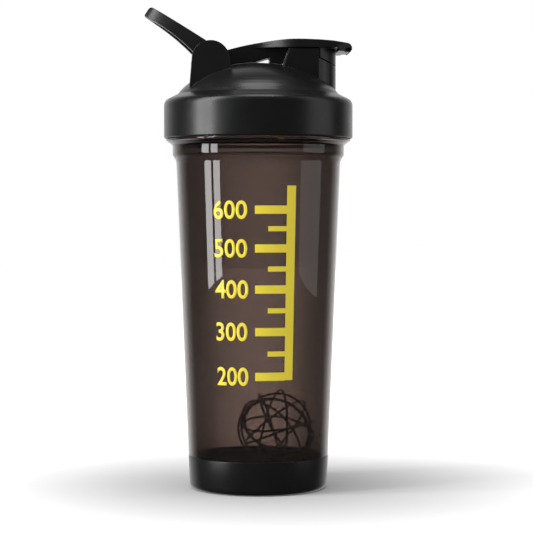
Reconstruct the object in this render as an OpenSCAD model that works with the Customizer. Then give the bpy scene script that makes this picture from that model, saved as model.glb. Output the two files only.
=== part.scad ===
// Shaker bottle with a screw lid, a flip cap over the spout, a carry loop and a wire whisk ball.
// Millimetres. +Z is up, the spout is at +X, the hinge at -X and the front of the bottle at -Y.
// The origin is the middle of the face that the bottle stands on.

/* [Bottle] */
// Outer radius of the tapered wall at the table
foot_r = 36.3; // [35:0.1:38]
// Outer radius of the tapered wall where it meets the shoulder
wall_top_r = 43.4; // [42.5:0.1:44]
// Height of the tapered wall
wall_h = 173; // [130:1:200]
// Thickness of the wall
wall_t = 2; // [1.6:0.1:2.4]
// Height of the inner floor
floor_z = 12; // [9:0.5:18]
// Thickness of the floor
floor_t = 2.4; // [1.6:0.1:3.2]
// Radius of the inner corner between floor and wall
floor_round = 6; // [3:0.5:9]
// Height of the sloped shoulder under the neck
shoulder_h = 3; // [2:0.1:5]

/* [Neck] */
// Step out from the wall to the neck, on the radius
neck_step = 2; // [1.5:0.1:3]
// Height of the plain ring between shoulder and collar
ring_h = 5.3; // [4:0.1:8]
// Step out from the neck to the collar under the lid, on the radius
collar_step = 3.4; // [2:0.1:4]
// Height of the collar
collar_h = 3.2; // [2.4:0.1:4.5]
// Thickness of the collar's rim
collar_rim = 0.9; // [0.6:0.1:1.4]
// Height of the neck above the collar
neck_h = 17.4; // [15:0.1:22]

/* [Thread] */
// Rise of the lid in one turn
thread_lead = 12; // [9:0.5:15]
// Number of thread starts
thread_starts = 3; // [2:1:3]
// Angle from the spout to where the first thread starts, in degrees
thread_from = 7; // [6:1:8]
// Turn of each thread start, in degrees
thread_turn = 270; // [180:10:300]
// Height of the thread ridge out of the neck
thread_depth = 1.3; // [1:0.1:1.4]
// Width of the ridge at its root
thread_root = 2.2; // [1.8:0.1:2.4]
// Width of the ridge at its crest
thread_crest = 1.1; // [0.8:0.1:1.4]
// Height of the thread's lowest point above the collar
thread_start = 2; // [1.5:0.1:3]
// Width of a lid lug at its tip
lug_tip = 0.8; // [0.6:0.1:1]
// Width of a lid lug at its root
lug_root = 1.8; // [1.4:0.1:2]
// Arc of one lid lug, in degrees
lug_arc = 14; // [8:1:18]
// Lugs that follow each thread start
lug_count = 5; // [3:1:6]

/* [Base] */
// Height of the opaque base cup
base_h = 17.4; // [12:0.1:20]
// Thickness of the base cup's wall
base_wall = 1.4; // [1.2:0.1:1.8]
// Thickness of the base cup's floor
base_floor = 1.6; // [1.2:0.1:2.4]
// Radius of the rounded bottom edge
base_round = 3; // [1.5:0.1:3.4]

/* [Lid] */
// Room for the thread between the neck and the lid's band
thread_room = 2; // [1.8:0.1:2.4]
// Thickness of the lid's walls
lid_t = 2.4; // [2:0.1:2.6]
// Height of the band's corner over the seat of the sealing ring
band_over = 0.3; // [0:0.1:2]
// Radius of the band's rounded top corner
band_round = 4; // [1:0.1:4.5]
// Slope of the shoulder inside that corner, in degrees
lid_slope = 26; // [20:1:35]
// Width of the shoulder between the band and the dome's crease
shoulder_w = 7.3; // [6:0.1:8]
// How far the dome's ellipse would reach past the crease
dome_over = 3.5; // [2.5:0.1:5]
// Half height of the ellipse of the dome
dome_rz = 26.7; // [24:0.1:28]
// Thickness of the plug skirt inside the neck
plug_t = 1.6; // [1.2:0.1:2]
// Thickness of the sealing ring
gasket_t = 1.8; // [1.4:0.1:2.2]

/* [Spout] */
// Distance from the dome's crease in to the spout's front
spout_inset = 1.5; // [1:0.1:3]
// Length of the rounded front, ahead of the spout's flat sides
spout_nose = 10.2; // [8:0.1:12]
// Lean of the rear face, in degrees
spout_lean = 18; // [8:1:20]
// Thickness of the walls beside the passage
side_wall = 6; // [4:0.1:7]
// Thickness of the wall behind the passage, at the rim
rear_wall = 1.2; // [1:0.1:2]
// Thickness of the wall ahead of the passage, inside the guard
front_wall = 1.8; // [1.4:0.1:3]
// Height of the spout's rim above the dome
spout_h = 6.8; // [6.5:0.1:9]
// Radius of the passage
spout_bore = 10; // [8:0.1:11]
// Height of the guard's lower edge below the rim, at the crease
guard_drop = 5; // [4:0.1:6]
// Slope of the guard's lower edge, in degrees
guard_slope = 22; // [15:1:26]
// Thickness of the guard
guard_t = 2; // [1.6:0.1:2.2]

/* [Hinge] */
// Distance from the dome's crease in to the hinge
hinge_inset = 17; // [15:0.1:18]
// Gap between the knuckles and the dome under them
hinge_lift = 0.6; // [0.5:0.1:2]
// Radius of the hinge pin
pin_r = 1.5; // [1.2:0.05:1.8]
// Radius of the knuckles on the pin
knuckle_r = 4.4; // [4:0.1:4.7]
// Radius of the rounded top of the ears
ear_r = 9.9; // [8.5:0.1:10.5]
// Distance between the carry loop's arm and an ear
ear_clear = 3.2; // [1:0.1:4]
// Thickness of an ear
ear_t = 3.5; // [3:0.1:4]
// Spread of an ear's foot past its rounded top, on either side
ear_spread = 1.5; // [0:0.1:3]
// Depth of the pin's socket in an ear
socket_h = 2.2; // [1.6:0.1:2.4]

/* [Flip cap] */
// Half width of the arm at the hinge
arm_half = 7.4; // [6.5:0.1:7.6]
// How far the plate reaches past the spout's sides
plate_over = 1; // [0.5:0.1:2]
// Length of the thumb tab, past the spout's front
tab_l = 7.8; // [7:0.1:11]
// How far each side of the thumb tab comes in from the plate's side
tab_taper = 4; // [0:0.1:6]
// Radius of the plate's corners
plate_round = 2.5; // [2:0.1:6]
// Length over which the arm widens to the plate
flare_l = 24; // [18:0.5:25]
// Distance from the spout's rear to where the plate is full width and the arch is highest
crown_in = 4.4; // [0:0.1:8]
// Thickness of the plate over the middle of the spout
plate_t = 4.4; // [4:0.1:6]
// Radius of the arch towards the hinge
arch_back_r = 130; // [120:1:160]
// Radius of the arch towards the thumb tab
arch_front_r = 200; // [150:5:300]
// Depth of the thumb lip below the plate
lip_h = 1.8; // [1:0.1:4]
// Length of the thumb block under the plate's end
lip_l = 7.6; // [5:0.1:7.7]
// Width of the grip notch in each side of the thumb block
notch_w = 2.7; // [1.5:0.1:3]
// Depth of the grip notch
notch_d = 4; // [2:0.1:6]
// Thickness of the tab's end wall, past the notch
notch_end = 1.2; // [0.8:0.1:2.4]
// Length of the rib behind the spout
rib_l = 6.4; // [3:0.1:7]
// Distance along X to where the arm's underside leaves the dome
lift_from = -6; // [-10:0.5:-4]
// Height of the arm's underside over the top of the dome, at the rib
arm_lift = 2.5; // [1.5:0.1:3]
// Radius of the upper edge of the thumb tab, from the side
nose_r = 3; // [1:0.1:4]
// Height of the plug that closes the passage
plug_h = 5; // [3:0.1:6]
// Taper of the plug, on the radius
plug_taper = 0.7; // [0.4:0.1:1]
// Radius of the stud that holds the plug in the cap
stud_r = 3; // [2:0.1:4]
// Height of the stud
stud_h = 2.2; // [1.5:0.1:2.6]

/* [Carry loop] */
// Distance from the hinge to the loop's end
loop_l = 42.3; // [40:0.1:48]
// Gap between the cap's arm and the loop's arm, at the hinge
eye_clear = 1.8; // [1.7:0.1:3]
// Width of an arm
loop_arm = 3.6; // [3:0.1:3.8]
// Width of the bow at the loop's end
loop_bow = 6; // [4:0.1:8]
// Height of the loop's upper face over the hinge
loop_top = 7.6; // [7:0.1:8]
// Thickness of the loop at its end
loop_t = 6; // [5:0.1:6.5]
// Extra thickness of the arms next to the hinge
loop_root = 3; // [2:0.1:3.5]
// Angle of the loop above the horizontal, in degrees
loop_lift = 32.5; // [20:0.5:60]

/* [Whisk ball] */
// Outer radius of the ball
ball_r = 20.5; // [18:0.5:24]
// Thickness of the wire
wire_d = 1.2; // [1:0.1:1.3]
// Loops of wire
ball_loops = 8; // [6:1:8]
// Tilt of each loop from the ball's equator, in degrees
ball_tilt = 65; // [60:1:68]
// Distance between the outer and inner layers of wire
layer_gap = 1.9; // [1.8:0.05:2.2]
// Gap between the ball and the wall that it lies beside
ball_gap = 1.7; // [0.5:0.1:8]
// Direction from the axis in which the ball lies, in degrees
ball_from = -48; // [-180:1:180]
// Lean of the ball's open end from straight up, in degrees
ball_lean = 105.7; // [0:0.1:180]
// Turn of the leaning ball about the upright, in degrees
ball_turn = -51; // [-180:1:180]

/* [Clearances] */
// Gap between moving faces
gap = 0.3; // [0.2:0.05:0.4]
// Gap between the cap and the lid under it
cap_gap = 0.4; // [0.3:0.05:0.5]
// Gap between two pieces that are pressed together
seat_gap = 0.1; // [0.05:0.01:0.15]
// Running clearance on the hinge pin, on the radius
pin_gap = 0.05; // [0.02:0.01:0.08]

/* [Hidden] */
$fn = 96;

// Heights of the bottle, from the table up
ring_z = wall_h + shoulder_h;
collar_z = ring_z + ring_h;
collar_top = collar_z + collar_h;
rim_z = collar_top + neck_h;
neck_r = wall_top_r + neck_step;
neck_bore = neck_r - wall_t;
collar_r = neck_r + collar_step;

// Heights and radii of the lid
lid_z = collar_top + gap;
seat_z = rim_z + gap + gasket_t + gap;
corner_z = seat_z + band_over;
band_bore = neck_r + thread_room;
lid_r = band_bore + lid_t;
plug_r = neck_bore - gap;
plug_bore = plug_r - plug_t;
crease_r = lid_r - shoulder_w;
crease_z = corner_z + shoulder_w * tan(lid_slope);
dome_rx = crease_r + dome_over;
dome_z = crease_z - dome_rz * sqrt(1 - pow(crease_r / dome_rx, 2));
apex_z = dome_z + dome_rz;

// Places of the spout and the cap over it
spout_front = crease_r - spout_inset;
spout_crease = spout_front - spout_nose;
spout_x = spout_front - guard_t - cap_gap - front_wall - spout_bore;
spout_rear = spout_x - spout_bore - rear_wall;
spout_half = spout_bore + side_wall;
spout_z = apex_z + spout_h;
front_r = (pow(spout_half, 2) + pow(spout_nose, 2)) / (2 * spout_nose);
front_x = spout_front - front_r;
plate_z = spout_z + cap_gap;
plate_half = spout_half + plate_over;
crown_x = spout_rear + crown_in;
crown_z = plate_z + plate_t;
cap_end = spout_front + tab_l;

// Places along the hinge: the cap's arm, the carry loop's arms and the ears
hinge_x = crease_r - hinge_inset;
hinge_z = dome_height(hinge_x) + hinge_lift + knuckle_r;
knuckle_bore = pin_r + pin_gap;
eye_half = arm_half + eye_clear;
loop_half = eye_half + loop_arm;
ear_half = loop_half + ear_clear;

// Overshoot of a cut past the face that it opens, and depth of a foot sunk into what carries it
over = 1;

// Values of the wire path
wire_r = wire_d / 2;
layer_half = layer_gap / 2;
ball_mid_r = ball_r - wire_r - layer_half;
ball_z = floor_z + gap + ball_r;
ball_off = wall_r(ball_z) - wall_t - ball_gap - ball_r;
layer_blend = 0.05;
loop_rings = 24;
tube_sides = 6;

// Points on a circle round c, from angle a to angle b
function arc(c, r, a, b, n) =
    [for (i = [0:n]) c + r * [cos(a + (b - a) * i / n), sin(a + (b - a) * i / n)]];

// Outer radius of the tapered wall at a height
function wall_r(z) = foot_r + (wall_top_r - foot_r) * z / wall_h;

// Point on an ellipse round [0, dome_z]
function dome_point(rx, rz, a) = [rx * cos(a), dome_z + rz * sin(a)];

// Height of the dome's surface at a distance from the axis
function dome_height(r) = dome_z + dome_rz * sqrt(1 - pow(r / dome_rx, 2));

// Polygon in the X-Z plane, given depth on both sides of Y = 0
module side_extrude(half) {
    rotate([90, 0, 0]) translate([0, 0, -half]) linear_extrude(2 * half) children();
}

// ---------- bottle ----------

// Trapezoid ridge that climbs the neck on a right-hand helix from height z
module helix_ridge(z) {
    steps = ceil(thread_turn / 10);
    sunk = 0.6;
    tip_r = neck_r + thread_depth;
    root_r = neck_r - sunk;
    tip = thread_crest / 2;
    foot = thread_root / 2 + sunk * (thread_root - thread_crest) / (2 * thread_depth);
    section = [[root_r, -foot], [tip_r, -tip], [tip_r, tip], [root_r, foot]];
    n = len(section);
    points = [for (i = [0:steps], p = section)
        let (a = thread_turn * i / steps)
        [p[0] * cos(a), p[0] * sin(a), z + thread_lead * a / 360 + p[1]]];
    sides = [for (i = [0:steps - 1], j = [0:n - 1], half = [0, 1])
        let (a = i * n + j, b = i * n + (j + 1) % n)
        half == 0 ? [a, b, a + n] : [b, b + n, a + n]];
    caps = concat([for (j = [1:n - 2]) [0, j + 1, j]],
                  [for (j = [1:n - 2]) [steps * n, steps * n + j, steps * n + j + 1]]);
    polyhedron(points, concat(sides, caps));
}

module bottle() {
    skirt_z = base_floor + seat_gap;
    step_z = base_h + seat_gap;
    inset = base_wall + seat_gap;
    edge = 0.6;
    outside = [
        [wall_r(skirt_z) - inset, skirt_z],
        [wall_r(step_z) - inset, step_z],
        [wall_r(step_z), step_z],
        [wall_top_r, wall_h],
        [neck_r, ring_z],
        [neck_r, collar_z],
        [collar_r, collar_top - collar_rim],
        [collar_r, collar_top],
        [neck_r, collar_top],
        [neck_r, rim_z - edge],
        [neck_r - edge, rim_z]];
    round_z = floor_z + floor_round;
    inside = concat(
        [[neck_bore, rim_z], [neck_bore, ring_z], [wall_top_r - wall_t, wall_h]],
        arc([wall_r(round_z) - wall_t - floor_round, round_z], floor_round, 0, -90, 8),
        [[0, floor_z], [0, floor_z - floor_t]],
        [[wall_r(floor_z - floor_t) - inset - wall_t, floor_z - floor_t],
         [wall_r(skirt_z) - inset - wall_t, skirt_z]]);
    color([0.33, 0.26, 0.23, 0.6]) union() {
        rotate_extrude() polygon(concat(outside, inside));
        for (k = [0:thread_starts - 1]) rotate([0, 0, thread_from + 360 * k / thread_starts])
            helix_ridge(collar_top + thread_start);
    }
}

module base_cup() {
    color([0.06, 0.06, 0.07]) difference() {
        rotate_extrude() polygon(concat(
            [[0, 0]],
            arc([wall_r(base_round) - base_round, base_round], base_round, -90, 0, 8),
            [[wall_r(base_h), base_h], [0, base_h]]));
        rotate_extrude() polygon([
            [0, base_floor],
            [wall_r(base_floor) - base_wall, base_floor],
            [wall_r(base_h + over) - base_wall, base_h + over],
            [0, base_h + over]]);
    }
}

// ---------- lid ----------

// Outer surface of the lid, moved out by grow
module lid_solid(grow = 0) {
    turn = 90 - lid_slope;
    reach = band_round * tan(turn / 2);
    edge = 0.6;
    start = acos(crease_r / dome_rx);
    rotate_extrude() polygon(concat(
        [[0, lid_z], [lid_r - edge, lid_z], [lid_r + grow, lid_z + edge]],
        arc([lid_r - band_round, corner_z - reach], band_round + grow, 0, turn, 6),
        [for (i = [0:16])
            let (a = start + (90 - start) * i / 16)
            dome_point(dome_rx + grow, dome_rz + grow, a)]));
}

// Space under the dome and inside the plug skirt
module lid_hollow() {
    rx = dome_rx - lid_t;
    start = acos(plug_bore / rx);
    rotate_extrude() polygon(concat(
        [[0, lid_z - over], [plug_bore, lid_z - over]],
        [for (i = [0:16]) dome_point(rx, dome_rz - lid_t, start + (90 - start) * i / 16)]));
}

// Slot that the neck stands in, up to the seat of the sealing ring
module neck_slot() {
    depth = seat_z - lid_z + over;
    translate([0, 0, lid_z - over]) difference() {
        cylinder(h = depth, r = band_bore);
        translate([0, 0, -over]) cylinder(h = depth + 2 * over, r = plug_r);
    }
}

// Short ridges that ride under the neck's thread
module lid_lugs() {
    sunk = 0.5;
    tip_r = neck_r + gap;
    pitch = thread_lead / thread_starts;
    for (k = [0:thread_starts - 1], i = [0:lug_count - 1]) {
        turn = thread_turn * (i + 0.5) / lug_count;
        z = collar_top + thread_start + thread_lead * turn / 360 - pitch / 2;
        if (z - lug_root / 2 > lid_z + gap)
            rotate([0, 0, thread_from + 360 * k / thread_starts + turn - lug_arc / 2])
                rotate_extrude(angle = lug_arc) polygon([
                    [tip_r, z - lug_tip / 2],
                    [band_bore, z - lug_root / 2],
                    [band_bore + sunk, z - lug_root / 2],
                    [band_bore + sunk, z + lug_root / 2],
                    [band_bore, z + lug_root / 2],
                    [tip_r, z + lug_tip / 2]]);
    }
}

// Both ears, side by side at their full height
module ears() {
    foot_z = crease_z - over;
    front_z = (foot_z + apex_z) / 2;
    wrap = 4;
    for (side = [-1, 1]) translate([0, side * (ear_half + ear_t / 2), 0]) side_extrude(ear_t / 2)
        polygon(concat(
            arc([-hinge_x, hinge_z], ear_r, -wrap, 180 + wrap, 24),
            [[-hinge_x - ear_r - ear_spread, foot_z], [-hinge_x + ear_r + ear_spread, front_z]]));
}

module pin_sockets() {
    translate([-hinge_x, 0, hinge_z]) rotate([90, 0, 0])
        cylinder(h = 2 * (ear_half + socket_h), r = pin_r + seat_gap / 4, center = true);
}

// Outline of the spout from above, with its front arc moved in by inset
module spout_outline(inset) {
    a = acos((spout_crease - front_x) / (front_r - inset));
    polygon(concat(
        [[0, -spout_half], [spout_crease, -spout_half]],
        arc([front_x, 0], front_r - inset, -a, a, 16),
        [[spout_crease, spout_half], [0, spout_half]]));
}

// Half plane in front of the crease and above the guard's lower edge, raised by up
module guard_side(up, back) {
    z = spout_z - guard_drop + up;
    far = cap_end - spout_crease;
    side_extrude(spout_half + over) polygon([
        [spout_crease + back, z - back * tan(guard_slope)],
        [cap_end, z - far * tan(guard_slope)],
        [cap_end, plate_z + over],
        [spout_crease + back, plate_z + over]]);
}

module spout() {
    foot_z = crease_z - over;
    tall = spout_z - foot_z;
    difference() {
        intersection() {
            translate([0, 0, foot_z]) linear_extrude(tall) spout_outline(0);
            side_extrude(spout_half + over) polygon([
                [spout_rear - tall * tan(spout_lean), foot_z],
                [spout_front + over, foot_z],
                [spout_front + over, spout_z],
                [spout_rear, spout_z]]);
        }
        difference() {
            guard_side(0, 0);
            translate([0, 0, foot_z]) linear_extrude(tall + over) spout_outline(guard_t + cap_gap);
        }
    }
}

module lid() {
    color([0.07, 0.07, 0.08]) union() {
        difference() {
            union() {
                lid_solid();
                ears();
                spout();
            }
            lid_hollow();
            neck_slot();
            pin_sockets();
            translate([spout_x, 0, crease_z]) cylinder(h = spout_z - crease_z + over, r = spout_bore);
        }
        lid_lugs();
    }
}

module lid_gasket() {
    inner = plug_r + gap;
    color([0.75, 0.75, 0.73]) translate([0, 0, rim_z + gap]) difference() {
        cylinder(h = gasket_t, r = band_bore - gap);
        translate([0, 0, -over]) cylinder(h = gasket_t + 2 * over, r = inner);
    }
}

// ---------- flip cap ----------

// Height of the cap's upper face at a distance along X
function arch(x) =
    let (r = x < crown_x ? arch_back_r : arch_front_r)
    crown_z - r + sqrt(pow(r, 2) - pow(x - crown_x, 2));

// Outline of the plate from above: narrow at the arm, wide over the spout
module plate_outline() {
    steps = 12;
    flare = [for (i = [0:steps])
        [crown_x + flare_l * (i / steps - 1),
         arm_half + (plate_half - arm_half) * (1 - cos(180 * i / steps)) / 2]];
    corner = arc([cap_end - plate_round, plate_half - tab_taper - plate_round], plate_round, 60, 0, 6);
    half = concat(flare, [[spout_front - plate_round, plate_half]], corner);
    polygon(concat(half, [for (i = [len(half) - 1:-1:0]) [half[i][0], -half[i][1]]]));
}

module cap_plate() {
    from_x = crown_x - flare_l;
    nose_x = cap_end - nose_r;
    lip_z = plate_z - lip_h;
    chamfer = 1;
    intersection() {
        translate([0, 0, lip_z]) linear_extrude(crown_z + over - lip_z) plate_outline();
        side_extrude(plate_half + over) polygon(concat(
            [[from_x, plate_z]],
            [for (i = [0:16])
                let (x = from_x + (nose_x - from_x) * i / 16)
                [x, arch(x)]],
            arc([nose_x, arch(nose_x) - nose_r], nose_r, 80, 0, 6),
            [[cap_end, lip_z + chamfer], [cap_end - chamfer, lip_z],
             [cap_end - lip_l, lip_z], [cap_end - lip_l, plate_z]]));
    }
}

module cap_arm() {
    foot_z = dome_height(spout_rear) - over;
    rib_head = spout_rear - cap_gap / cos(spout_lean);
    rib_foot = rib_head - (spout_z - foot_z) * tan(spout_lean);
    rib_rear = rib_foot - rib_l;
    top_from = -hinge_x + ear_r;
    side_extrude(arm_half) polygon(concat(
        [[-hinge_x, hinge_z + knuckle_r], [top_from, arch(top_from)]],
        [for (i = [1:12])
            let (x = top_from + (rib_head - top_from) * i / 12)
            [x, arch(x)]],
        [[rib_head, spout_z], [rib_foot, foot_z], [rib_rear, foot_z], [rib_rear, apex_z + arm_lift],
         [lift_from, apex_z - over], [-hinge_x, hinge_z - knuckle_r]]));
    translate([-hinge_x, 0, hinge_z]) rotate([90, 0, 0])
        cylinder(h = 2 * arm_half, r = knuckle_r, center = true);
}

module spout_guard() {
    intersection() {
        translate([0, 0, crease_z]) linear_extrude(plate_z + seat_gap - crease_z) difference() {
            spout_outline(0);
            translate([front_x, 0]) circle(r = front_r - guard_t);
        }
        guard_side(cap_gap, cap_gap);
    }
}

module flip_cap() {
    notch_x = cap_end - notch_end - notch_w;
    notch_y = plate_half - tab_taper - notch_d;
    color([0.09, 0.09, 0.10]) difference() {
        union() {
            cap_plate();
            cap_arm();
            spout_guard();
        }
        lid_solid(cap_gap);
        translate([-hinge_x, 0, hinge_z]) rotate([90, 0, 0])
            cylinder(h = 4 * arm_half, r = knuckle_bore, center = true);
        for (side = [-1, 1]) scale([1, side, 1]) translate([notch_x, notch_y, plate_z - lip_h - over])
            cube([notch_w, 2 * notch_d, lip_h + over]);
        translate([spout_x, 0, plate_z - over])
            cylinder(h = stud_h + seat_gap + over, r = stud_r + seat_gap / 2);
    }
}

module spout_seal() {
    top_r = spout_bore - cap_gap;
    color([0.2, 0.2, 0.21]) translate([spout_x, 0, plate_z - plug_h]) {
        cylinder(h = plug_h, r1 = top_r - plug_taper, r2 = top_r);
        cylinder(h = plug_h + stud_h, r = stud_r);
    }
}

module hinge_pin() {
    color("silver") translate([-hinge_x, 0, hinge_z]) rotate([90, 0, 0])
        cylinder(h = 2 * (ear_half + socket_h - seat_gap), r = pin_r, center = true);
}

// ---------- carry loop ----------

// Side view of the loop, lying back along -X with the hinge at the origin
module loop_side() {
    bottom = loop_top - loop_t;
    upper_r = 2;
    lower_r = 1;
    thick_x = 2 * knuckle_r;
    slim_x = 0.8 * loop_l;
    polygon(concat(
        [[0, knuckle_r], [-loop_top, loop_top]],
        arc([upper_r - loop_l, loop_top - upper_r], upper_r, 90, 180, 6),
        arc([lower_r - loop_l, bottom + lower_r], lower_r, 180, 270, 4),
        [for (a = [0:15:90])
            [-thick_x - (slim_x - thick_x) * cos(a), bottom - loop_root * pow(1 - cos(a), 2)]],
        [[0, -knuckle_r]]));
}

// Half ellipse that reaches back from the hinge
module half_ellipse(length, half) {
    polygon([for (i = [0:32])
        let (a = 90 + 180 * i / 32)
        [length * cos(a), half * sin(a)]]);
}

module carry_loop() {
    color([0.05, 0.05, 0.06]) translate([-hinge_x, 0, hinge_z]) rotate([0, loop_lift, 0]) difference() {
        union() {
            intersection() {
                side_extrude(loop_half) loop_side();
                translate([0, 0, -loop_l]) linear_extrude(2 * loop_l) difference() {
                    half_ellipse(loop_l, loop_half);
                    half_ellipse(loop_l - loop_bow, eye_half);
                }
            }
            for (side = [-1, 1]) translate([0, side * (arm_half + ear_half) / 2, 0]) rotate([90, 0, 0])
                cylinder(h = ear_half - arm_half - 2 * gap, r = knuckle_r, center = true);
        }
        rotate([90, 0, 0]) cylinder(h = 4 * ear_half, r = knuckle_bore, center = true);
    }
}

// ---------- whisk ball ----------

// Middle of the wire after a turn of u degrees: a tilted circle that drifts round the ball,
// on the outer layer on its way up and on the inner layer on its way down
function wire_point(u) =
    let (lift = sin(ball_tilt) * sin(u),
         spin = atan2(cos(ball_tilt) * sin(u), cos(u)) + u / ball_loops,
         layer = cos(u) / sqrt(pow(cos(u), 2) + pow(layer_blend, 2)),
         r = ball_mid_r + layer_half * layer,
         flat = r * sqrt(1 - lift * lift))
    [flat * cos(spin), flat * sin(spin), r * lift];

function unit(v) = v / norm(v);

// Point on the surface of the tube round path point i
function ring_point(path, i, j) =
    let (n = len(path),
         ahead = unit(path[(i + 1) % n] - path[(i + n - 1) % n]),
         out = unit(path[i] - (path[i] * ahead) * ahead),
         across = cross(ahead, out),
         a = 360 * j / tube_sides)
    path[i] + wire_r * (cos(a) * out + sin(a) * across);

// Least distance between the surfaces of two passes of the wire, measured on points
function wire_gap() =
    let (parts = 8,
         step = 360 / loop_rings,
         count = ball_loops * loop_rings,
         ring = [for (i = [0:count]) wire_point(step * (i + 0.5))],
         fine = [for (i = [0:count - 1], k = [0:parts - 1]) ring[i] + (ring[i + 1] - ring[i]) * k / parts],
         total = len(fine),
         near = 3 * parts)  // neighbours along the wire don't count
    min([for (i = [0:loop_rings * parts - 1], j = [i + near:i + total - near])
        norm(fine[i] - fine[j % total])]) - wire_d;

module whisk_ball() {
    step = 360 / loop_rings;
    n = ball_loops * loop_rings;
    path = [for (i = [0:n - 1]) wire_point(step * (i + 0.5))];
    points = [for (i = [0:n - 1], j = [0:tube_sides - 1]) ring_point(path, i, j)];
    faces = [for (i = [0:n - 1], j = [0:tube_sides - 1], half = [0, 1])
        let (m = tube_sides,
             a = i * m + j,
             b = i * m + (j + 1) % m,
             c = ((i + 1) % n) * m + j,
             d = ((i + 1) % n) * m + (j + 1) % m)
        half == 0 ? [a, c, b] : [b, c, d]];
    echo(least_gap_of_the_wire_to_itself = wire_gap());
    color([0.45, 0.45, 0.46])
        translate([ball_off * cos(ball_from), ball_off * sin(ball_from), ball_z])
            rotate([0, ball_lean, ball_turn]) polyhedron(points, faces);
}

bottle();
base_cup();
lid();
lid_gasket();
flip_cap();
spout_seal();
hinge_pin();
carry_loop();
whisk_ball();
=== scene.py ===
"""Shaker bottle: the looks of each piece, and the studio that it stands in.

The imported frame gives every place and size. Each operator makes one piece, or one group of like
pieces, and the panel lists them in the order in which they are run.
"""

import math

import bmesh
import bpy
from bpy.props import FloatProperty, FloatVectorProperty, IntProperty, PointerProperty
from mathutils import Matrix, Vector


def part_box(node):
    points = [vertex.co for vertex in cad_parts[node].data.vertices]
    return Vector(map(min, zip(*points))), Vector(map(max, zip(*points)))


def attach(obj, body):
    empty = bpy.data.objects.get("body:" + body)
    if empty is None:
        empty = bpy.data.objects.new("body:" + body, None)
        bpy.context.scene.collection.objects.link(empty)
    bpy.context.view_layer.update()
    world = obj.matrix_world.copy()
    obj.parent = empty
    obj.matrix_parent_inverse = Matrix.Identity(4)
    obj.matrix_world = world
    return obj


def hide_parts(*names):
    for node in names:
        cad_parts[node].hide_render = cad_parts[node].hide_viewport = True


bl_info = {
    "name": "Shaker bottle",
    "version": (1, 0, 0),
    "blender": (4, 5, 0),
    "location": "3D View > Sidebar > Shaker",
    "description": "Makes the looks of a shaker bottle round its packed frame",
    "category": "Object",
}

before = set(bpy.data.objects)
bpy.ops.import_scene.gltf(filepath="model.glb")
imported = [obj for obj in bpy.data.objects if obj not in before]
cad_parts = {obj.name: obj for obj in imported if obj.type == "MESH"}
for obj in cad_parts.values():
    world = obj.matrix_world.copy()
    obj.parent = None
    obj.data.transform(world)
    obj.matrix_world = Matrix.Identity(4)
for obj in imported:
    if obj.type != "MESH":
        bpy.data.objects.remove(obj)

MM = 0.001


# ---------- sizes and colours ----------


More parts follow.
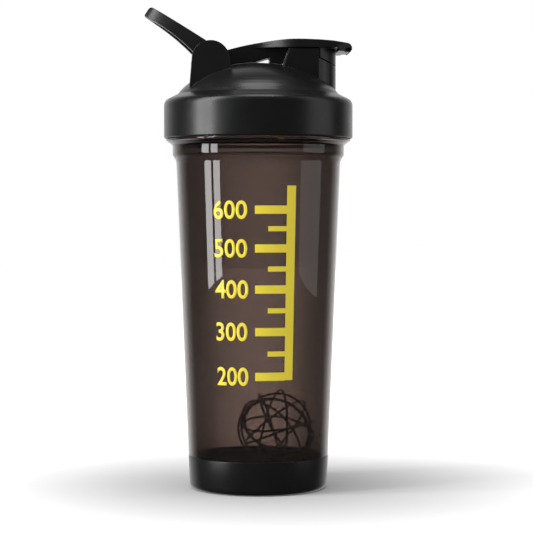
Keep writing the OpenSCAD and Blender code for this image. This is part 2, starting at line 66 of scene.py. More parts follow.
class ShakerSizes(bpy.types.PropertyGroup):
    """Sizes of the pieces that are made anew."""

    foot_r: FloatProperty(
        name="Foot radius", description="Outer radius of the tapered wall at the table",
        default=36.3 * MM, unit="LENGTH")
    wall_top_r: FloatProperty(
        name="Wall top radius", description="Outer radius of the wall under the shoulder",
        default=43.4 * MM, unit="LENGTH")
    wall_h: FloatProperty(
        name="Wall height", description="Height of the tapered wall",
        default=173 * MM, unit="LENGTH")
    wall_t: FloatProperty(
        name="Wall thickness", description="Thickness of the bottle's wall",
        default=2 * MM, unit="LENGTH")
    floor_z: FloatProperty(
        name="Inner floor", description="Height of the bottle's inner floor",
        default=12 * MM, unit="LENGTH")
    floor_t: FloatProperty(
        name="Floor thickness", description="Thickness of the bottle's floor",
        default=2.4 * MM, unit="LENGTH")
    floor_round: FloatProperty(
        name="Floor corner", description="Radius of the inner corner between floor and wall",
        default=6 * MM, unit="LENGTH")
    shoulder_h: FloatProperty(
        name="Shoulder height", description="Height of the sloped shoulder under the neck",
        default=3 * MM, unit="LENGTH")
    neck_step: FloatProperty(
        name="Neck step", description="Step out from the wall to the neck",
        default=2 * MM, unit="LENGTH")
    ring_h: FloatProperty(
        name="Ring height", description="Height of the plain ring under the collar",
        default=5.3 * MM, unit="LENGTH")
    collar_h: FloatProperty(
        name="Collar height", description="Height of the collar under the lid",
        default=3.2 * MM, unit="LENGTH")
    collar_rim: FloatProperty(
        name="Collar rim", description="Thickness of the collar's rim",
        default=0.9 * MM, unit="LENGTH")
    thread_lead: FloatProperty(
        name="Thread lead", description="Rise of the lid in one turn",
        default=12 * MM, unit="LENGTH")
    thread_depth: FloatProperty(
        name="Thread depth", description="Height of the thread ridge out of the neck",
        default=1.3 * MM, unit="LENGTH")
    thread_start: FloatProperty(
        name="Thread start", description="Height of the thread's lowest point above the collar",
        default=2 * MM, unit="LENGTH")
    thread_turn: FloatProperty(
        name="Thread turn", description="Turn of each thread start",
        default=math.radians(270), subtype="ANGLE")
    edge_round: FloatProperty(
        name="Edge rounding", description="How far the edges of the cap and the loop are cut back",
        default=0.4 * MM, unit="LENGTH")
    base_h: FloatProperty(
        name="Base height", description="Height of the base cup",
        default=17.4 * MM, unit="LENGTH")
    base_wall: FloatProperty(
        name="Base wall", description="Thickness of the base cup's wall",
        default=1.4 * MM, unit="LENGTH")
    base_floor: FloatProperty(
        name="Base floor", description="Thickness of the base cup's floor",
        default=1.6 * MM, unit="LENGTH")
    base_round: FloatProperty(
        name="Base edge", description="Radius of the rounded bottom edge",
        default=3 * MM, unit="LENGTH")
    seat_gap: FloatProperty(
        name="Seat gap", description="Gap between the bottle and its base cup",
        default=0.1 * MM, unit="LENGTH")
    ball_r: FloatProperty(
        name="Ball radius", description="Outer radius of the whisk ball",
        default=20.5 * MM, unit="LENGTH")
    wire_d: FloatProperty(
        name="Wire", description="Thickness of the ball's wire",
        default=1.2 * MM, unit="LENGTH")
    ball_loops: IntProperty(
        name="Loops", description="Loops of wire in the whisk ball", default=8)
    ball_tilt: FloatProperty(
        name="Loop tilt", description="Tilt of each loop from the ball's equator",
        default=math.radians(65), subtype="ANGLE")
    layer_gap: FloatProperty(
        name="Layer gap", description="Distance between the two layers of wire",
        default=1.9 * MM, unit="LENGTH")
    ball_gap: FloatProperty(
        name="Ball gap", description="Gap between the ball and the wall beside it",
        default=1.7 * MM, unit="LENGTH")
    ball_from: FloatProperty(
        name="Ball direction", description="Direction from the axis in which the ball lies",
        default=math.radians(-48), subtype="ANGLE")
    ball_lean: FloatProperty(
        name="Ball lean", description="Lean of the ball's open end from straight up",
        default=math.radians(105.7), subtype="ANGLE")
    ball_turn: FloatProperty(
        name="Ball turn", description="Turn of the leaning ball about the upright",
        default=math.radians(-51), subtype="ANGLE")


class ShakerColours(bpy.types.PropertyGroup):
    """Colours of the finishes."""

    smoke: FloatVectorProperty(
        name="Smoke", description="Tint of one clear wall", size=3, subtype="COLOR",
        min=0, max=1, default=(0.285, 0.228, 0.205))
    black: FloatVectorProperty(
        name="Black", description="Polished black of the lid and the base cup", size=3,
        subtype="COLOR", min=0, max=1, default=(0.0065, 0.0068, 0.0075))
    satin: FloatVectorProperty(
        name="Satin black", description="Satin black of the cap and the carry loop", size=3,
        subtype="COLOR", min=0, max=1, default=(0.0065, 0.0068, 0.0075))
    seal: FloatVectorProperty(
        name="Seal", description="Milky silicone of the sealing ring", size=3,
        subtype="COLOR", min=0, max=1, default=(0.72, 0.72, 0.70))
    plug: FloatVectorProperty(
        name="Plug", description="Dark grey elastomer of the spout plug", size=3,
        subtype="COLOR", min=0, max=1, default=(0.022, 0.022, 0.025))
    steel: FloatVectorProperty(
        name="Steel", description="Stainless steel of the pin", size=3,
        subtype="COLOR", min=0, max=1, default=(0.56, 0.55, 0.54))
    # The wire's steel is darkened far below the pin's as painted shade for the dim inside of the
    # smoked bottle.
    wire: FloatVectorProperty(
        name="Wire", description="Stainless steel of the ball in the dim bottle", size=3,
        subtype="COLOR", min=0, max=1, default=(0.085, 0.075, 0.07))
    ink: FloatVectorProperty(
        name="Ink", description="Yellow of the printed scale", size=3,
        subtype="COLOR", min=0, max=1, default=(0.84, 0.68, 0.045))


class ShakerPrint(bpy.types.PropertyGroup):
    """Sizes of the printed scale."""

    low_z: FloatProperty(
        name="Lower edge", description="Height of the print's lower edge",
        default=60 * MM, unit="LENGTH")
    high_z: FloatProperty(
        name="Upper edge", description="Height of the print's upper edge",
        default=159.5 * MM, unit="LENGTH")
    width: FloatProperty(
        name="Width", description="Width of the print along the wall",
        default=45 * MM, unit="LENGTH")
    proud: FloatProperty(
        name="Ink thickness", description="How far the ink stands out of the wall",
        default=0.12 * MM, unit="LENGTH")
    spine: FloatProperty(
        name="Spine", description="Width of the upright bar", default=5 * MM, unit="LENGTH")
    long_bar: FloatProperty(
        name="Long bar", description="Length of a bar beside a number",
        default=17 * MM, unit="LENGTH")
    long_bar_t: FloatProperty(
        name="Long bar thickness", description="Height of a bar beside a number",
        default=4.2 * MM, unit="LENGTH")
    short_bar: FloatProperty(
        name="Short bar", description="Length of a bar between numbers",
        default=10 * MM, unit="LENGTH")
    short_bar_t: FloatProperty(
        name="Short bar thickness", description="Height of a bar between numbers",
        default=2.6 * MM, unit="LENGTH")
    letter: FloatProperty(
        name="Number size", description="Size of the numbers", default=13 * MM, unit="LENGTH")
    letter_bold: FloatProperty(
        name="Number weight", description="How far each stroke is thickened",
        default=0.25 * MM, unit="LENGTH")
    lift: FloatProperty(
        name="Lift", description="Gap that keeps the ink off the wall's surface",
        default=0.01 * MM, unit="LENGTH")
    turn: FloatProperty(
        name="Turn", description="Direction from the axis to the middle of the print",
        default=math.radians(-95.5), subtype="ANGLE")


class ShakerStudio(bpy.types.PropertyGroup):
    """Camera and lights."""

    distance: FloatProperty(
        name="Distance", description="Distance from the bottle's axis to the camera",
        default=1000 * MM, unit="LENGTH")
    height: FloatProperty(
        name="Height", description="Height of the camera", default=145.2 * MM, unit="LENGTH")
    azimuth: FloatProperty(
        name="Azimuth", description="Angle of the camera about the axis",
        default=math.radians(-2.5), subtype="ANGLE")
    aim_z: FloatProperty(
        name="Aim", description="Height that the camera looks at",
        default=117.2 * MM, unit="LENGTH")
    aim_side: FloatProperty(
        name="Aim to the side", description="How far right of the axis the camera looks",
        default=4.35 * MM, unit="LENGTH")
    lens: FloatProperty(
        name="Lens", description="Focal length on a 36 mm sensor, in millimetres", default=127.46)
    key: FloatProperty(
        name="Key", description="Brightness of the two strips on the left", default=8.4)
    side: FloatProperty(
        name="Side", description="Brightness of the broad light on the right", default=0.75)
    top: FloatProperty(
        name="Top", description="Brightness of the soft light overhead", default=4)
    ambient: FloatProperty(
        name="Ambient", description="Brightness of the room on matt surfaces", default=0.62)


# ---------- meshes ----------


def finish_mesh(bm, name, material, smooth=True):
    """Turns a bmesh into an object at the origin, with its place in its mesh."""
    mesh = bpy.data.meshes.new(name)
    bm.to_mesh(mesh)
    bm.free()
    if smooth:
        mesh.shade_smooth()
    obj = bpy.data.objects.new(name, mesh)
    bpy.context.scene.collection.objects.link(obj)
    mesh.materials.append(material)
    return obj


def sharpen(obj, angle=35):
    """Keeps corners steeper than the angle crisp."""
    obj.data.set_sharp_from_angle(angle=math.radians(angle))


def section(points, rounds):
    """Wire of a cross-section in the X-Z plane, with the corners in rounds cut back and rounded."""
    bm = bmesh.new()
    verts = [bm.verts.new((x, 0, z)) for x, z in points]
    face = bm.faces.new(verts)
    for index, reach in rounds.items():
        bmesh.ops.bevel(
            bm, geom=[verts[index]], offset=reach, offset_type="OFFSET", segments=5,
            profile=0.5, affect="VERTICES", material=-1)
    bm.faces.ensure_lookup_table()
    bmesh.ops.delete(bm, geom=bm.faces[:], context="FACES_ONLY")
    on_axis = [e for e in bm.edges if all(abs(v.co.x) < 1e-7 for v in e.verts)]
    bmesh.ops.delete(bm, geom=on_axis, context="EDGES")
    return bm


def turned(points, rounds, steps=192):
    """Body of revolution round the bottle's axis."""
    bm = section(points, rounds)
    bmesh.ops.spin(
        bm, geom=bm.verts[:] + bm.edges[:], cent=(0, 0, 0), axis=(0, 0, 1), dvec=(0, 0, 0),
        angle=2 * math.pi, space=Matrix.Identity(4), steps=steps, use_merge=True,
        use_normal_flip=False, use_duplicate=False)
    bmesh.ops.remove_doubles(bm, verts=bm.verts[:], dist=1e-7)
    bmesh.ops.recalc_face_normals(bm, faces=bm.faces[:])
    return bm


def wall_r(sizes, z):
    """Outer radius of the tapered wall at a height."""
    return sizes.foot_r + (sizes.wall_top_r - sizes.foot_r) * z / sizes.wall_h


# ---------- materials ----------


def new_material(name):
    """Empty node tree with a principled shader on its output."""
    material = bpy.data.materials.new(name)
    material.use_nodes = True
    nodes = material.node_tree.nodes
    nodes.clear()
    output = nodes.new("ShaderNodeOutputMaterial")
    shader = nodes.new("ShaderNodeBsdfPrincipled")
    material.node_tree.links.new(shader.outputs[0], output.inputs[0])
    return material, nodes, material.node_tree.links, shader


def noise(nodes, links, scale, detail=2.0):
    """Noise on the piece's own coordinates."""
    place = nodes.new("ShaderNodeTexCoord")
    texture = nodes.new("ShaderNodeTexNoise")
    texture.inputs["Scale"].default_value = scale
    texture.inputs["Detail"].default_value = detail
    links.new(place.outputs["Object"], texture.inputs["Vector"])
    return texture


def spread(nodes, links, source, low, high):
    """Noise value spread over a range."""
    node = nodes.new("ShaderNodeMapRange")
    node.inputs["From Min"].default_value = 0.3
    node.inputs["From Max"].default_value = 0.7
    node.inputs["To Min"].default_value = low
    node.inputs["To Max"].default_value = high
    links.new(source, node.inputs["Value"])
    return node.outputs["Result"]


def grain(nodes, links, shader, scale, height, edge=0.0):
    """Fine relief, over edges that are eased by a small radius."""
    bump = nodes.new("ShaderNodeBump")
    bump.inputs["Strength"].default_value = 1.0
    bump.inputs["Distance"].default_value = height
    links.new(noise(nodes, links, scale, 3.0).outputs["Fac"], bump.inputs["Height"])
    if edge:
        ease = nodes.new("ShaderNodeBevel")
        ease.samples = 6
        ease.inputs["Radius"].default_value = edge
        links.new(ease.outputs["Normal"], bump.inputs["Normal"])
    links.new(bump.outputs["Normal"], shader.inputs["Normal"])


def tinted(nodes, links, shader, colour, share):
    """Base colour that drifts a little from place to place."""
    ramp = nodes.new("ShaderNodeValToRGB")
    ramp.color_ramp.elements[0].position = 0.3
    ramp.color_ramp.elements[1].position = 0.7
    ramp.color_ramp.elements[0].color = (*[c * (1 - share) for c in colour], 1)
    ramp.color_ramp.elements[1].color = (*[min(1, c * (1 + share)) for c in colour], 1)
    links.new(noise(nodes, links, 60).outputs["Fac"], ramp.inputs["Fac"])
    links.new(ramp.outputs["Color"], shader.inputs["Base Color"])


def moulded(name, colour, rough, edge=0.0, share=0.12):
    """Moulded opaque plastic."""
    material, nodes, links, shader = new_material(name)
    shader.inputs["IOR"].default_value = 1.49
    tinted(nodes, links, shader, colour, share)
    patches = noise(nodes, links, 90)
    links.new(spread(nodes, links, patches.outputs["Fac"], rough * 0.9, rough * 1.1),
              shader.inputs["Roughness"])
    grain(nodes, links, shader, 2600, 0.0015 * MM, edge)
    return material


# Painted light in the clear wall's colour, against how far the wall is turned from the eye: darker
# towards the sides as painted shade for the slant path through it, and light again at the rim as a
# painted reflection of the room.
PAINTED_SLANT_SHADE_AND_RIM = ((0, 1), (0.11, 0.8), (0.28, 0.46), (0.56, 0.26), (0.8, 0.34), (1, 1))


def smoked(name, colour):
    """Clear smoke-brown wall, with painted shade darkening its colour towards the sides and a
    painted reflection at the rim.
    """
    material, nodes, links, shader = new_material(name)
    shader.inputs["IOR"].default_value = 1.5
    shader.inputs["Transmission Weight"].default_value = 1.0
    tinted(nodes, links, shader, colour, 0.03)
    # Layer Weight facing drives painted shade towards the sides and a painted rim reflection,
    # multiplied into the wall's tint below.
    facing = nodes.new("ShaderNodeLayerWeight")
    facing.inputs["Blend"].default_value = 0.5
    path = nodes.new("ShaderNodeValToRGB")
    ramp = path.color_ramp
    for place, light in PAINTED_SLANT_SHADE_AND_RIM[1:-1]:
        ramp.elements.new(place).color = (light, light, light, 1)
    for index, (_, light) in ((0, PAINTED_SLANT_SHADE_AND_RIM[0]), (-1, PAINTED_SLANT_SHADE_AND_RIM[-1])):
        ramp.elements[index].color = (light, light, light, 1)
    links.new(facing.outputs["Facing"], path.inputs["Fac"])
    depth = nodes.new("ShaderNodeMix")
    depth.data_type, depth.blend_type = "RGBA", "MULTIPLY"
    depth.inputs["Factor"].default_value = 1.0
    links.new(shader.inputs["Base Color"].links[0].from_socket, depth.inputs["A"])
    links.new(path.outputs["Color"], depth.inputs["B"])
    links.new(depth.outputs["Result"], shader.inputs["Base Color"])
    patches = noise(nodes, links, 70)
    links.new(spread(nodes, links, patches.outputs["Fac"], 0.0, 0.004),
              shader.inputs["Roughness"])
    return material


def metal(name, colour, rough):
    """Drawn stainless steel."""
    material, nodes, links, shader = new_material(name)
    shader.inputs["Metallic"].default_value = 1.0
    tinted(nodes, links, shader, colour, 0.05)
    patches = noise(nodes, links, 400)
    links.new(spread(nodes, links, patches.outputs["Fac"], rough * 0.8, rough * 1.2),
              shader.inputs["Roughness"])
    grain(nodes, links, shader, 3000, 0.002 * MM)
    return material


def dress(node, material):
    """Gives a node that is kept its finish."""
    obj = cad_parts[node]
    obj.data.materials.clear()
    obj.data.materials.append(material)


def eased(node, name, material, width):
    """Copy of a node whose sharp edges are rounded, in its place."""
    weld, sliver = 0.002 * MM, 0.001 * MM
    flat, steep = math.radians(1), math.radians(32)
    bm = bmesh.new()
    bm.from_mesh(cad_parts[node].data)
    bm.transform(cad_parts[node].matrix_world)
    bmesh.ops.remove_doubles(bm, verts=bm.verts[:], dist=weld)
    bmesh.ops.dissolve_degenerate(bm, dist=sliver, edges=bm.edges[:])
    bmesh.ops.dissolve_limit(
        bm, angle_limit=flat, use_dissolve_boundaries=False, verts=bm.verts[:],
        edges=bm.edges[:], delimit=set())
    corners = [e for e in bm.edges if e.is_manifold and e.calc_face_angle() > steep]
    bmesh.ops.bevel(
        bm, geom=corners, offset=width, offset_type="OFFSET", segments=2, profile=0.5,
        affect="EDGES", clamp_overlap=False, loop_slide=True, material=-1)
    copy = finish_mesh(bm, name, material)
    sharpen(copy, 30)
    copy.modifiers.new("normals", "WEIGHTED_NORMAL").keep_sharp = True
    return copy


# ---------- operators ----------


class SHAKER_OT_bottle(bpy.types.Operator):
    """Clear tapered bottle with shoulder, collar and neck, and the thread on the neck"""

    bl_idname = "shaker.bottle"
    bl_label = "Bottle"

    def execute(self, context):
        s = context.scene.shaker_sizes
        smoke = smoked("smoke_clear", context.scene.shaker_colours.smoke)
        low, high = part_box("bottle")
        skirt_z, step_z = low.z, s.base_h + s.seat_gap
        inset = s.base_wall + s.seat_gap
        ring_z = s.wall_h + s.shoulder_h
        collar_z = ring_z + s.ring_h
        collar_top = collar_z + s.collar_h
        neck_r = s.wall_top_r + s.neck_step
        bore = neck_r - s.wall_t
        under_z = s.floor_z - s.floor_t
        points = [
            (wall_r(s, skirt_z) - inset, skirt_z),
            (wall_r(s, step_z) - inset, step_z),
            (wall_r(s, step_z), step_z),
            (s.wall_top_r, s.wall_h),
            (neck_r, ring_z),
            (neck_r, collar_z),
            (high.x, collar_top - s.collar_rim),
            (high.x, collar_top),
            (neck_r, collar_top),
            (neck_r, high.z),
            (bore, high.z),
            (bore, ring_z),
            (s.wall_top_r - s.wall_t, s.wall_h),
            (wall_r(s, s.floor_z) - s.wall_t, s.floor_z),
            (0, s.floor_z),
            (0, under_z),
            (wall_r(s, under_z) - inset - s.wall_t, under_z),
            (wall_r(s, skirt_z) - inset - s.wall_t, skirt_z),
        ]
        rounds = {
            2: 0.3 * MM, 3: 1.2 * MM, 4: 0.8 * MM, 5: 0.8 * MM, 6: 0.25 * MM, 7: 0.25 * MM,
            9: 0.6 * MM, 10: 0.5 * MM, 11: 0.8 * MM, 12: 1.2 * MM, 13: s.floor_round}
        wall = finish_mesh(turned(points, rounds, 256), "bottle_wall", smoke)
        sharpen(wall, 30)
        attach(wall, "bottle")
        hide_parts("bottle")
        self.thread(s, smoke, neck_r, collar_top)
        return {"FINISHED"}

    def thread(self, s, smoke, neck_r, collar_top):
        """Three ridges that climb the neck."""
        starts, steps = 3, 72
        first_turn = math.radians(7)
        root, crest, sunk = 2.2 * MM, 1.1 * MM, 0.1 * MM
        whole = bmesh.new()
        for k in range(starts):
            bm = bmesh.new()
            z = collar_top + s.thread_start
            corners = [(neck_r - sunk, -root / 2), (neck_r + s.thread_depth, -crest / 2),
                       (neck_r + s.thread_depth, crest / 2), (neck_r - sunk, root / 2)]
            verts = [bm.verts.new((x, 0, z + up)) for x, up in corners]
            face = bm.faces.new(verts)
            bmesh.ops.rotate(
                bm, verts=bm.verts[:], cent=(0, 0, 0),
                matrix=Matrix.Rotation(first_turn + 2 * math.pi * k / starts, 3, "Z"))
            bmesh.ops.spin(
                bm, geom=[face, *face.edges, *face.verts], cent=(0, 0, 0), axis=(0, 0, 1),
                dvec=(0, 0, s.thread_lead * s.thread_turn / (2 * math.pi) / steps),
                angle=s.thread_turn, space=Matrix.Identity(4), steps=steps, use_merge=False,
                use_normal_flip=False, use_duplicate=False)
            bmesh.ops.recalc_face_normals(bm, faces=bm.faces[:])
            part = bpy.data.meshes.new("part")
            bm.to_mesh(part)
            bm.free()
            whole.from_mesh(part)
            bpy.data.meshes.remove(part)
        ridges = finish_mesh(whole, "neck_thread", smoke)
        sharpen(ridges, 30)
        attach(ridges, "bottle")


class SHAKER_OT_base_cup(bpy.types.Operator):
    """Opaque cup pressed over the bottle's foot"""

    bl_idname = "shaker.base_cup"
    bl_label = "Base cup"

    def execute(self, context):
        s = context.scene.shaker_sizes
        black = moulded("black_gloss_base", context.scene.shaker_colours.black, 0.3)
        points = [
            (0, 0),
            (wall_r(s, 0), 0),
            (wall_r(s, s.base_h), s.base_h),
            (wall_r(s, s.base_h) - s.base_wall, s.base_h),
            (wall_r(s, s.base_floor) - s.base_wall, s.base_floor),
            (0, s.base_floor),
        ]
        rounds = {1: s.base_round, 2: 0.3 * MM, 3: 0.2 * MM, 4: 0.8 * MM}
        cup = finish_mesh(turned(points, rounds), "base_shell", black)
        sharpen(cup, 30)
        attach(cup, "bottle")
        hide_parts("base_cup")
        return {"FINISHED"}


class SHAKER_OT_lid(bpy.types.Operator):
    """Domed lid with its band, ears and spout"""

    bl_idname = "shaker.lid"
    bl_label = "Lid"

    def execute(self, context):
        black = moulded("black_gloss_lid", context.scene.shaker_colours.black, 0.3, 0.6 * MM)
        dress("lid", black)
        return {"FINISHED"}


class SHAKER_OT_cap(bpy.types.Operator):
    """Flip cap over the spout"""

    bl_idname = "shaker.cap"
    bl_label = "Flip cap"

    def execute(self, context):
        satin = moulded("black_satin_cap", context.scene.shaker_colours.satin, 0.34)
        cap = eased("flip_cap", "cap_body", satin, context.scene.shaker_sizes.edge_round)
        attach(cap, "cap")
        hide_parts("flip_cap")
        return {"FINISHED"}


class SHAKER_OT_loop(bpy.types.Operator):
    """Carry loop on the hinge"""

    bl_idname = "shaker.loop"
    bl_label = "Carry loop"

    def execute(self, context):
        satin = moulded("black_satin_loop", context.scene.shaker_colours.satin, 0.34)
        loop = eased("carry_loop", "loop_body", satin, context.scene.shaker_sizes.edge_round)
        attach(loop, "loop")
        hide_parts("carry_loop")
        return {"FINISHED"}


class SHAKER_OT_seals(bpy.types.Operator):
    """Sealing ring, spout plug and hinge pin"""

    bl_idname = "shaker.seals"
    bl_label = "Seals and pin"

    def execute(self, context):
        colours = context.scene.shaker_colours
        dress("lid_gasket", moulded("clear_seal_ring", colours.seal, 0.45))
        dress("spout_seal", moulded("grey_seal_plug", colours.plug, 0.5, 0.3 * MM))
        dress("hinge_pin", metal("steel_pin_rod", colours.steel, 0.28))
        return {"FINISHED"}


class SHAKER_OT_ball(bpy.types.Operator):
    """Whisk ball wound from one length of wire"""

    bl_idname = "shaker.ball"
    bl_label = "Whisk ball"

    def execute(self, context):
        s = context.scene.shaker_sizes
        gap, blend, rings = 0.3 * MM, 0.05, 72
        mid_r = s.ball_r - s.wire_d / 2 - s.layer_gap / 2
        z = s.floor_z + gap + s.ball_r
        off = wall_r(s, z) - s.wall_t - s.ball_gap - s.ball_r
        place = (Matrix.Translation((off * math.cos(s.ball_from), off * math.sin(s.ball_from), z))
                 @ Matrix.Rotation(s.ball_turn, 4, "Z") @ Matrix.Rotation(s.ball_lean, 4, "Y"))
        curve = bpy.data.curves.new("wire", "CURVE")
        curve.dimensions = "3D"
        curve.bevel_depth = s.wire_d / 2
        curve.bevel_resolution = 3
        spline = curve.splines.new("POLY")
        count = s.ball_loops * rings
        spline.points.add(count - 1)
        spline.use_cyclic_u = True
        for i in range(count):
            u = 2 * math.pi * (i + 0.5) / rings
            lift = math.sin(s.ball_tilt) * math.sin(u)
            spin = math.atan2(math.cos(s.ball_tilt) * math.sin(u), math.cos(u)) + u / s.ball_loops
            layer = math.cos(u) / math.sqrt(math.cos(u) ** 2 + blend ** 2)
            r = mid_r + s.layer_gap / 2 * layer
            flat = r * math.sqrt(1 - lift * lift)
            point = place @ Vector((flat * math.cos(spin), flat * math.sin(spin), r * lift))
            spline.points[i].co = (*point, 1)
        holder = bpy.data.objects.new("wire", curve)
        context.scene.collection.objects.link(holder)
        context.view_layer.update()
        mesh = bpy.data.meshes.new_from_object(
            holder.evaluated_get(context.evaluated_depsgraph_get()))
        bpy.data.objects.remove(holder)
        mesh.shade_smooth()
        mesh.materials.clear()
        # The wire's colour is a painted-shade copy of the steel, dark for the dim inside of the
        # bottle.
        mesh.materials.append(metal("steel_wire_ball", context.scene.shaker_colours.wire, 0.22))
        ball = bpy.data.objects.new("whisk_wire", mesh)
        context.scene.collection.objects.link(ball)
        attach(ball, "ball")
        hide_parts("whisk_ball")
        return {"FINISHED"}


class SHAKER_OT_print(bpy.types.Operator):
    """Printed scale on the front of the bottle"""

    bl_idname = "shaker.print"
    bl_label = "Print"

    def execute(self, context):
        s, p = context.scene.shaker_sizes, context.scene.shaker_print
        ink = moulded("yellow_ink_print", context.scene.shaker_colours.ink, 0.35, 0, 0.02)
        whole = bmesh.new()
        half = p.width / 2
        self.bar(whole, half - p.spine, half, p.low_z, p.high_z)
        litres = [0.2 + 0.05 * i for i in range(9)]
        for litre in litres:
            z = self.height_of(s, litre)
            main = round(litre * 1000) % 100 == 0
            thick = p.long_bar_t if main else p.short_bar_t
            reach = p.long_bar if main else p.short_bar
            self.bar(whole, half - p.spine - reach, half - p.spine, z - thick / 2, z + thick / 2)
            if main:
                self.number(context, whole, str(round(litre * 1000)), -half, z)
        self.wrap(whole, s, p)
        shape = finish_mesh(whole, "print_scale", ink, smooth=False)
        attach(shape, "bottle")
        return {"FINISHED"}

    def height_of(self, s, litre):
        """Height at which the bottle holds that much."""
        steps, z, held = 400, s.floor_z, 0.0
        step = (s.wall_h - s.floor_z) / steps
        while held < litre / 1000:
            held += math.pi * (wall_r(s, z) - s.wall_t) ** 2 * step
            z += step
        return z

    def bar(self, bm, x0, x1, z0, z1):
        """Flat rectangle in the X-Z plane."""
        bm.faces.new([bm.verts.new(c) for c in ((x0, 0, z0), (x1, 0, z0), (x1, 0, z1), (x0, 0, z1))])

    def number(self, context, bm, text, x, z):
        """Plain number with its left edge at x and its middle at z."""
        curve = bpy.data.curves.new("number", "FONT")
        curve.body = text
        curve.size = context.scene.shaker_print.letter
        curve.offset = context.scene.shaker_print.letter_bold
        curve.resolution_u = 4
        holder = bpy.data.objects.new("number", curve)
        context.scene.collection.objects.link(holder)
        context.view_layer.update()
        mesh = bpy.data.meshes.new_from_object(
            holder.evaluated_get(context.evaluated_depsgraph_get()))
        bpy.data.objects.remove(holder)
        low = Vector(min(v.co[i] for v in mesh.vertices) for i in range(3))
        high = Vector(max(v.co[i] for v in mesh.vertices) for i in range(3))
        mesh.transform(Matrix.Translation((-low.x, -(low.y + high.y) / 2, 0)))
        mesh.transform(Matrix.Translation((x, 0, z)) @ Matrix.Rotation(math.pi / 2, 4, "X"))
        bm.from_mesh(mesh)
        bpy.data.meshes.remove(mesh)

    def wrap(self, bm, s, p):
        """Lays the flat print on the wall, and gives the ink its thickness."""
        half = p.width / 2
        count = 36
        for i in range(1, count):
            bmesh.ops.bisect_plane(
                bm, geom=bm.verts[:] + bm.edges[:] + bm.faces[:], dist=1e-8,
                plane_co=(-half + p.width * i / count, 0, 0), plane_no=(1, 0, 0))
        for v in bm.verts:
            r = wall_r(s, v.co.z) + p.lift
            a = p.turn + v.co.x / s.wall_top_r
            v.co = (r * math.cos(a), r * math.sin(a), v.co.z)
        bmesh.ops.solidify(bm, geom=bm.faces[:], thickness=-p.proud)
        bmesh.ops.recalc_face_normals(bm, faces=bm.faces[:])


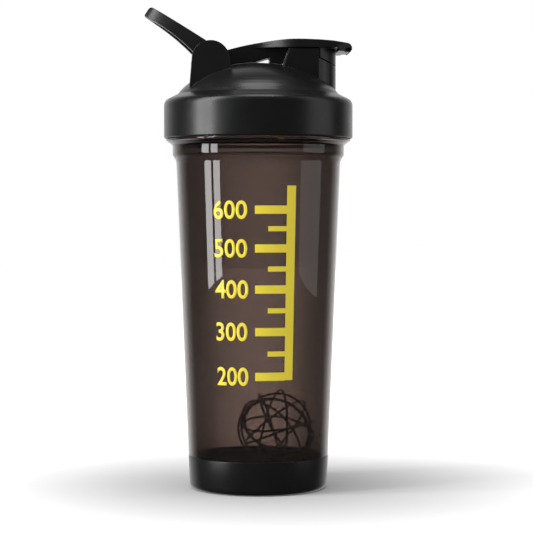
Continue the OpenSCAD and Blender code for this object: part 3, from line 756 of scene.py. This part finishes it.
class SHAKER_OT_stage(bpy.types.Operator):
    """Floor, room, lights and camera"""

    bl_idname = "shaker.stage"
    bl_label = "Stage"

    def execute(self, context):
        studio = context.scene.shaker_studio
        self.floor()
        self.room(context, studio)
        self.lights(context, studio)
        self.camera(context, studio)
        context.scene.view_settings.view_transform = "Standard"
        return {"FINISHED"}

    def floor(self):
        """Pale floor that keeps the bottle's shadow, its glow turned down towards the bottle as a
        painted shadow round the base.
        """
        reach, shade = 4, 0.55
        # The floor's glow runs from nearly none 30 mm from the axis to full at 300 mm: a painted
        # shadow round the base.
        foot, open_floor = (30 * MM, 0.02), (300 * MM, 1.0)
        bm = bmesh.new()
        bmesh.ops.create_circle(bm, cap_ends=True, segments=96, radius=reach)
        material = bpy.data.materials.new("floor_pale")
        material.use_nodes = True
        nodes, links = material.node_tree.nodes, material.node_tree.links
        nodes.clear()
        output = nodes.new("ShaderNodeOutputMaterial")
        diffuse = nodes.new("ShaderNodeBsdfDiffuse")
        diffuse.inputs["Color"].default_value = (shade, shade, shade, 1)
        glow = nodes.new("ShaderNodeEmission")
        place = nodes.new("ShaderNodeTexCoord")
        away = nodes.new("ShaderNodeVectorMath")
        away.operation = "LENGTH"
        links.new(place.outputs["Object"], away.inputs[0])
        painted_foot_shadow = nodes.new("ShaderNodeMapRange")
        painted_foot_shadow.interpolation_type = "SMOOTHSTEP"
        painted_foot_shadow.inputs["From Min"].default_value, painted_foot_shadow.inputs["To Min"].default_value = foot
        painted_foot_shadow.inputs["From Max"].default_value, painted_foot_shadow.inputs["To Max"].default_value = open_floor
        links.new(away.outputs["Value"], painted_foot_shadow.inputs["Value"])
        links.new(seen(nodes, links, painted_foot_shadow.outputs["Result"]), glow.inputs["Strength"])
        both = nodes.new("ShaderNodeAddShader")
        links.new(diffuse.outputs[0], both.inputs[0])
        links.new(glow.outputs[0], both.inputs[1])
        links.new(both.outputs[0], output.inputs[0])
        floor = finish_mesh(bm, "floor", material, smooth=False)
        floor.visible_glossy = False

    def room(self, context, studio):
        """White room behind the bottle, and a dim one beside and in front of it in its gloss."""
        front, back_wall = (0.5, 0.04), (0.93, 1.0)
        world = bpy.data.worlds.new("room")
        context.scene.world = world
        world.use_nodes = True
        nodes, links = world.node_tree.nodes, world.node_tree.links
        nodes.clear()
        output = nodes.new("ShaderNodeOutputWorld")
        back = nodes.new("ShaderNodeBackground")
        back.inputs["Color"].default_value = (1, 1, 1, 1)
        place = nodes.new("ShaderNodeTexCoord")
        axes = nodes.new("ShaderNodeSeparateXYZ")
        links.new(place.outputs["Generated"], axes.inputs[0])
        gloss = nodes.new("ShaderNodeMapRange")
        gloss.inputs["From Min"].default_value, gloss.inputs["To Min"].default_value = front
        gloss.inputs["From Max"].default_value, gloss.inputs["To Max"].default_value = back_wall
        links.new(axes.outputs["Y"], gloss.inputs["Value"])
        path = nodes.new("ShaderNodeLightPath")
        shine = nodes.new("ShaderNodeMix")
        shine.inputs["A"].default_value = studio.ambient
        links.new(path.outputs["Is Glossy Ray"], shine.inputs["Factor"])
        links.new(gloss.outputs[0], shine.inputs["B"])
        white = nodes.new("ShaderNodeMix")
        white.inputs["B"].default_value = 1.0
        either = nodes.new("ShaderNodeMath")
        either.operation = "MAXIMUM"
        links.new(path.outputs["Is Camera Ray"], either.inputs[0])
        links.new(path.outputs["Is Transmission Ray"], either.inputs[1])
        links.new(either.outputs[0], white.inputs["Factor"])
        links.new(shine.outputs[0], white.inputs["A"])
        links.new(white.outputs[0], back.inputs["Strength"])
        links.new(back.outputs[0], output.inputs[0])

    def lights(self, context, studio):
        """Two tall strips on the left, a broad soft light on the right and one overhead."""
        self.upright(context, studio, "strip_near", -58.5, 10, studio.key)
        self.upright(context, studio, "strip_far", -72.5, 11, studio.key)
        self.upright(context, studio, "side_soft", 78, 36, studio.side)
        across, forward, high = 0.5, 0.12, 1.2
        top = self.lamp(context, "top_soft", across, across, studio.top)
        top.location = (0, -forward, high)

    def upright(self, context, studio, name, bearing, spread_deg, brightness):
        """Tall light that stands on the floor, at a bearing from the camera's direction."""
        away, tall = 0.6, 1.15
        wide = 2 * away * math.tan(math.radians(spread_deg) / 2)
        holder = self.lamp(context, name, wide, tall, brightness)
        a = studio.azimuth + math.radians(bearing)
        spot = Vector((math.sin(a) * away, -math.cos(a) * away, tall / 2))
        holder.location = spot
        holder.rotation_euler = Vector((-spot.x, -spot.y, 0)).to_track_quat("-Z", "Y").to_euler()

    def lamp(self, context, name, wide, tall, brightness):
        """Area light that shines on pieces, but isn't seen itself except in gloss."""
        light = bpy.data.lights.new(name, "AREA")
        light.shape = "RECTANGLE"
        light.size, light.size_y = wide, tall
        light.energy = brightness * math.pi * wide * tall
        holder = bpy.data.objects.new(name, light)
        context.scene.collection.objects.link(holder)
        holder.visible_camera = False
        holder.visible_transmission = False
        return holder

    def camera(self, context, studio):
        """Camera at the front, slightly towards the hinge side."""
        lens = bpy.data.cameras.new("camera")
        lens.sensor_width = 36
        lens.lens = studio.lens
        lens.clip_start, lens.clip_end = 50 * MM, 20
        holder = bpy.data.objects.new("camera", lens)
        context.scene.collection.objects.link(holder)
        a = studio.azimuth
        spot = Vector((math.sin(a) * studio.distance, -math.cos(a) * studio.distance,
                       studio.height))
        aim = Vector((math.cos(a) * studio.aim_side, math.sin(a) * studio.aim_side, studio.aim_z))
        holder.location = spot
        holder.rotation_euler = (aim - spot).to_track_quat("-Z", "Y").to_euler()
        context.scene.camera = holder


def seen(nodes, links, strength):
    """Strength for rays that show a surface: from the camera, in gloss or through a clear wall."""
    path = nodes.new("ShaderNodeLightPath")
    first = nodes.new("ShaderNodeMath")
    first.operation = "MAXIMUM"
    links.new(path.outputs["Is Camera Ray"], first.inputs[0])
    links.new(path.outputs["Is Transmission Ray"], first.inputs[1])
    second = nodes.new("ShaderNodeMath")
    second.operation = "MAXIMUM"
    links.new(first.outputs[0], second.inputs[0])
    links.new(path.outputs["Is Glossy Ray"], second.inputs[1])
    scaled = nodes.new("ShaderNodeMath")
    scaled.operation = "MULTIPLY"
    links.new(second.outputs[0], scaled.inputs[0])
    links.new(strength, scaled.inputs[1])
    return scaled.outputs[0]


class SHAKER_PT_parts(bpy.types.Panel):
    """Lists the pieces and their sizes"""

    bl_idname = "SHAKER_PT_parts"
    bl_label = "Shaker bottle"
    bl_space_type = "VIEW_3D"
    bl_region_type = "UI"
    bl_category = "Shaker"

    def draw(self, context):
        for operator in PIECES:
            self.layout.operator(operator.bl_idname)
        for group in GROUPS:
            box = self.layout.box()
            values = getattr(context.scene, group)
            for name in values.bl_rna.properties.keys():
                if name not in {"rna_type", "name"}:
                    box.prop(values, name)


GROUPS = {
    "shaker_sizes": ShakerSizes,
    "shaker_colours": ShakerColours,
    "shaker_print": ShakerPrint,
    "shaker_studio": ShakerStudio,
}
PIECES = (
    SHAKER_OT_bottle,
    SHAKER_OT_base_cup,
    SHAKER_OT_lid,
    SHAKER_OT_cap,
    SHAKER_OT_loop,
    SHAKER_OT_seals,
    SHAKER_OT_ball,
    SHAKER_OT_print,
    SHAKER_OT_stage,
)


def register():
    for kind in (*GROUPS.values(), *PIECES, SHAKER_PT_parts):
        bpy.utils.register_class(kind)
    for name, kind in GROUPS.items():
        setattr(bpy.types.Scene, name, PointerProperty(type=kind))


def unregister():
    for name in GROUPS:
        delattr(bpy.types.Scene, name)
    for kind in (SHAKER_PT_parts, *reversed(PIECES), *reversed(tuple(GROUPS.values()))):
        bpy.utils.unregister_class(kind)


def main():
    register()
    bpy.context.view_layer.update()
    for piece in PIECES:
        group, name = piece.bl_idname.split(".")
        getattr(getattr(bpy.ops, group), name)()
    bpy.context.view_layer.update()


if __name__ == "__main__":
    main()
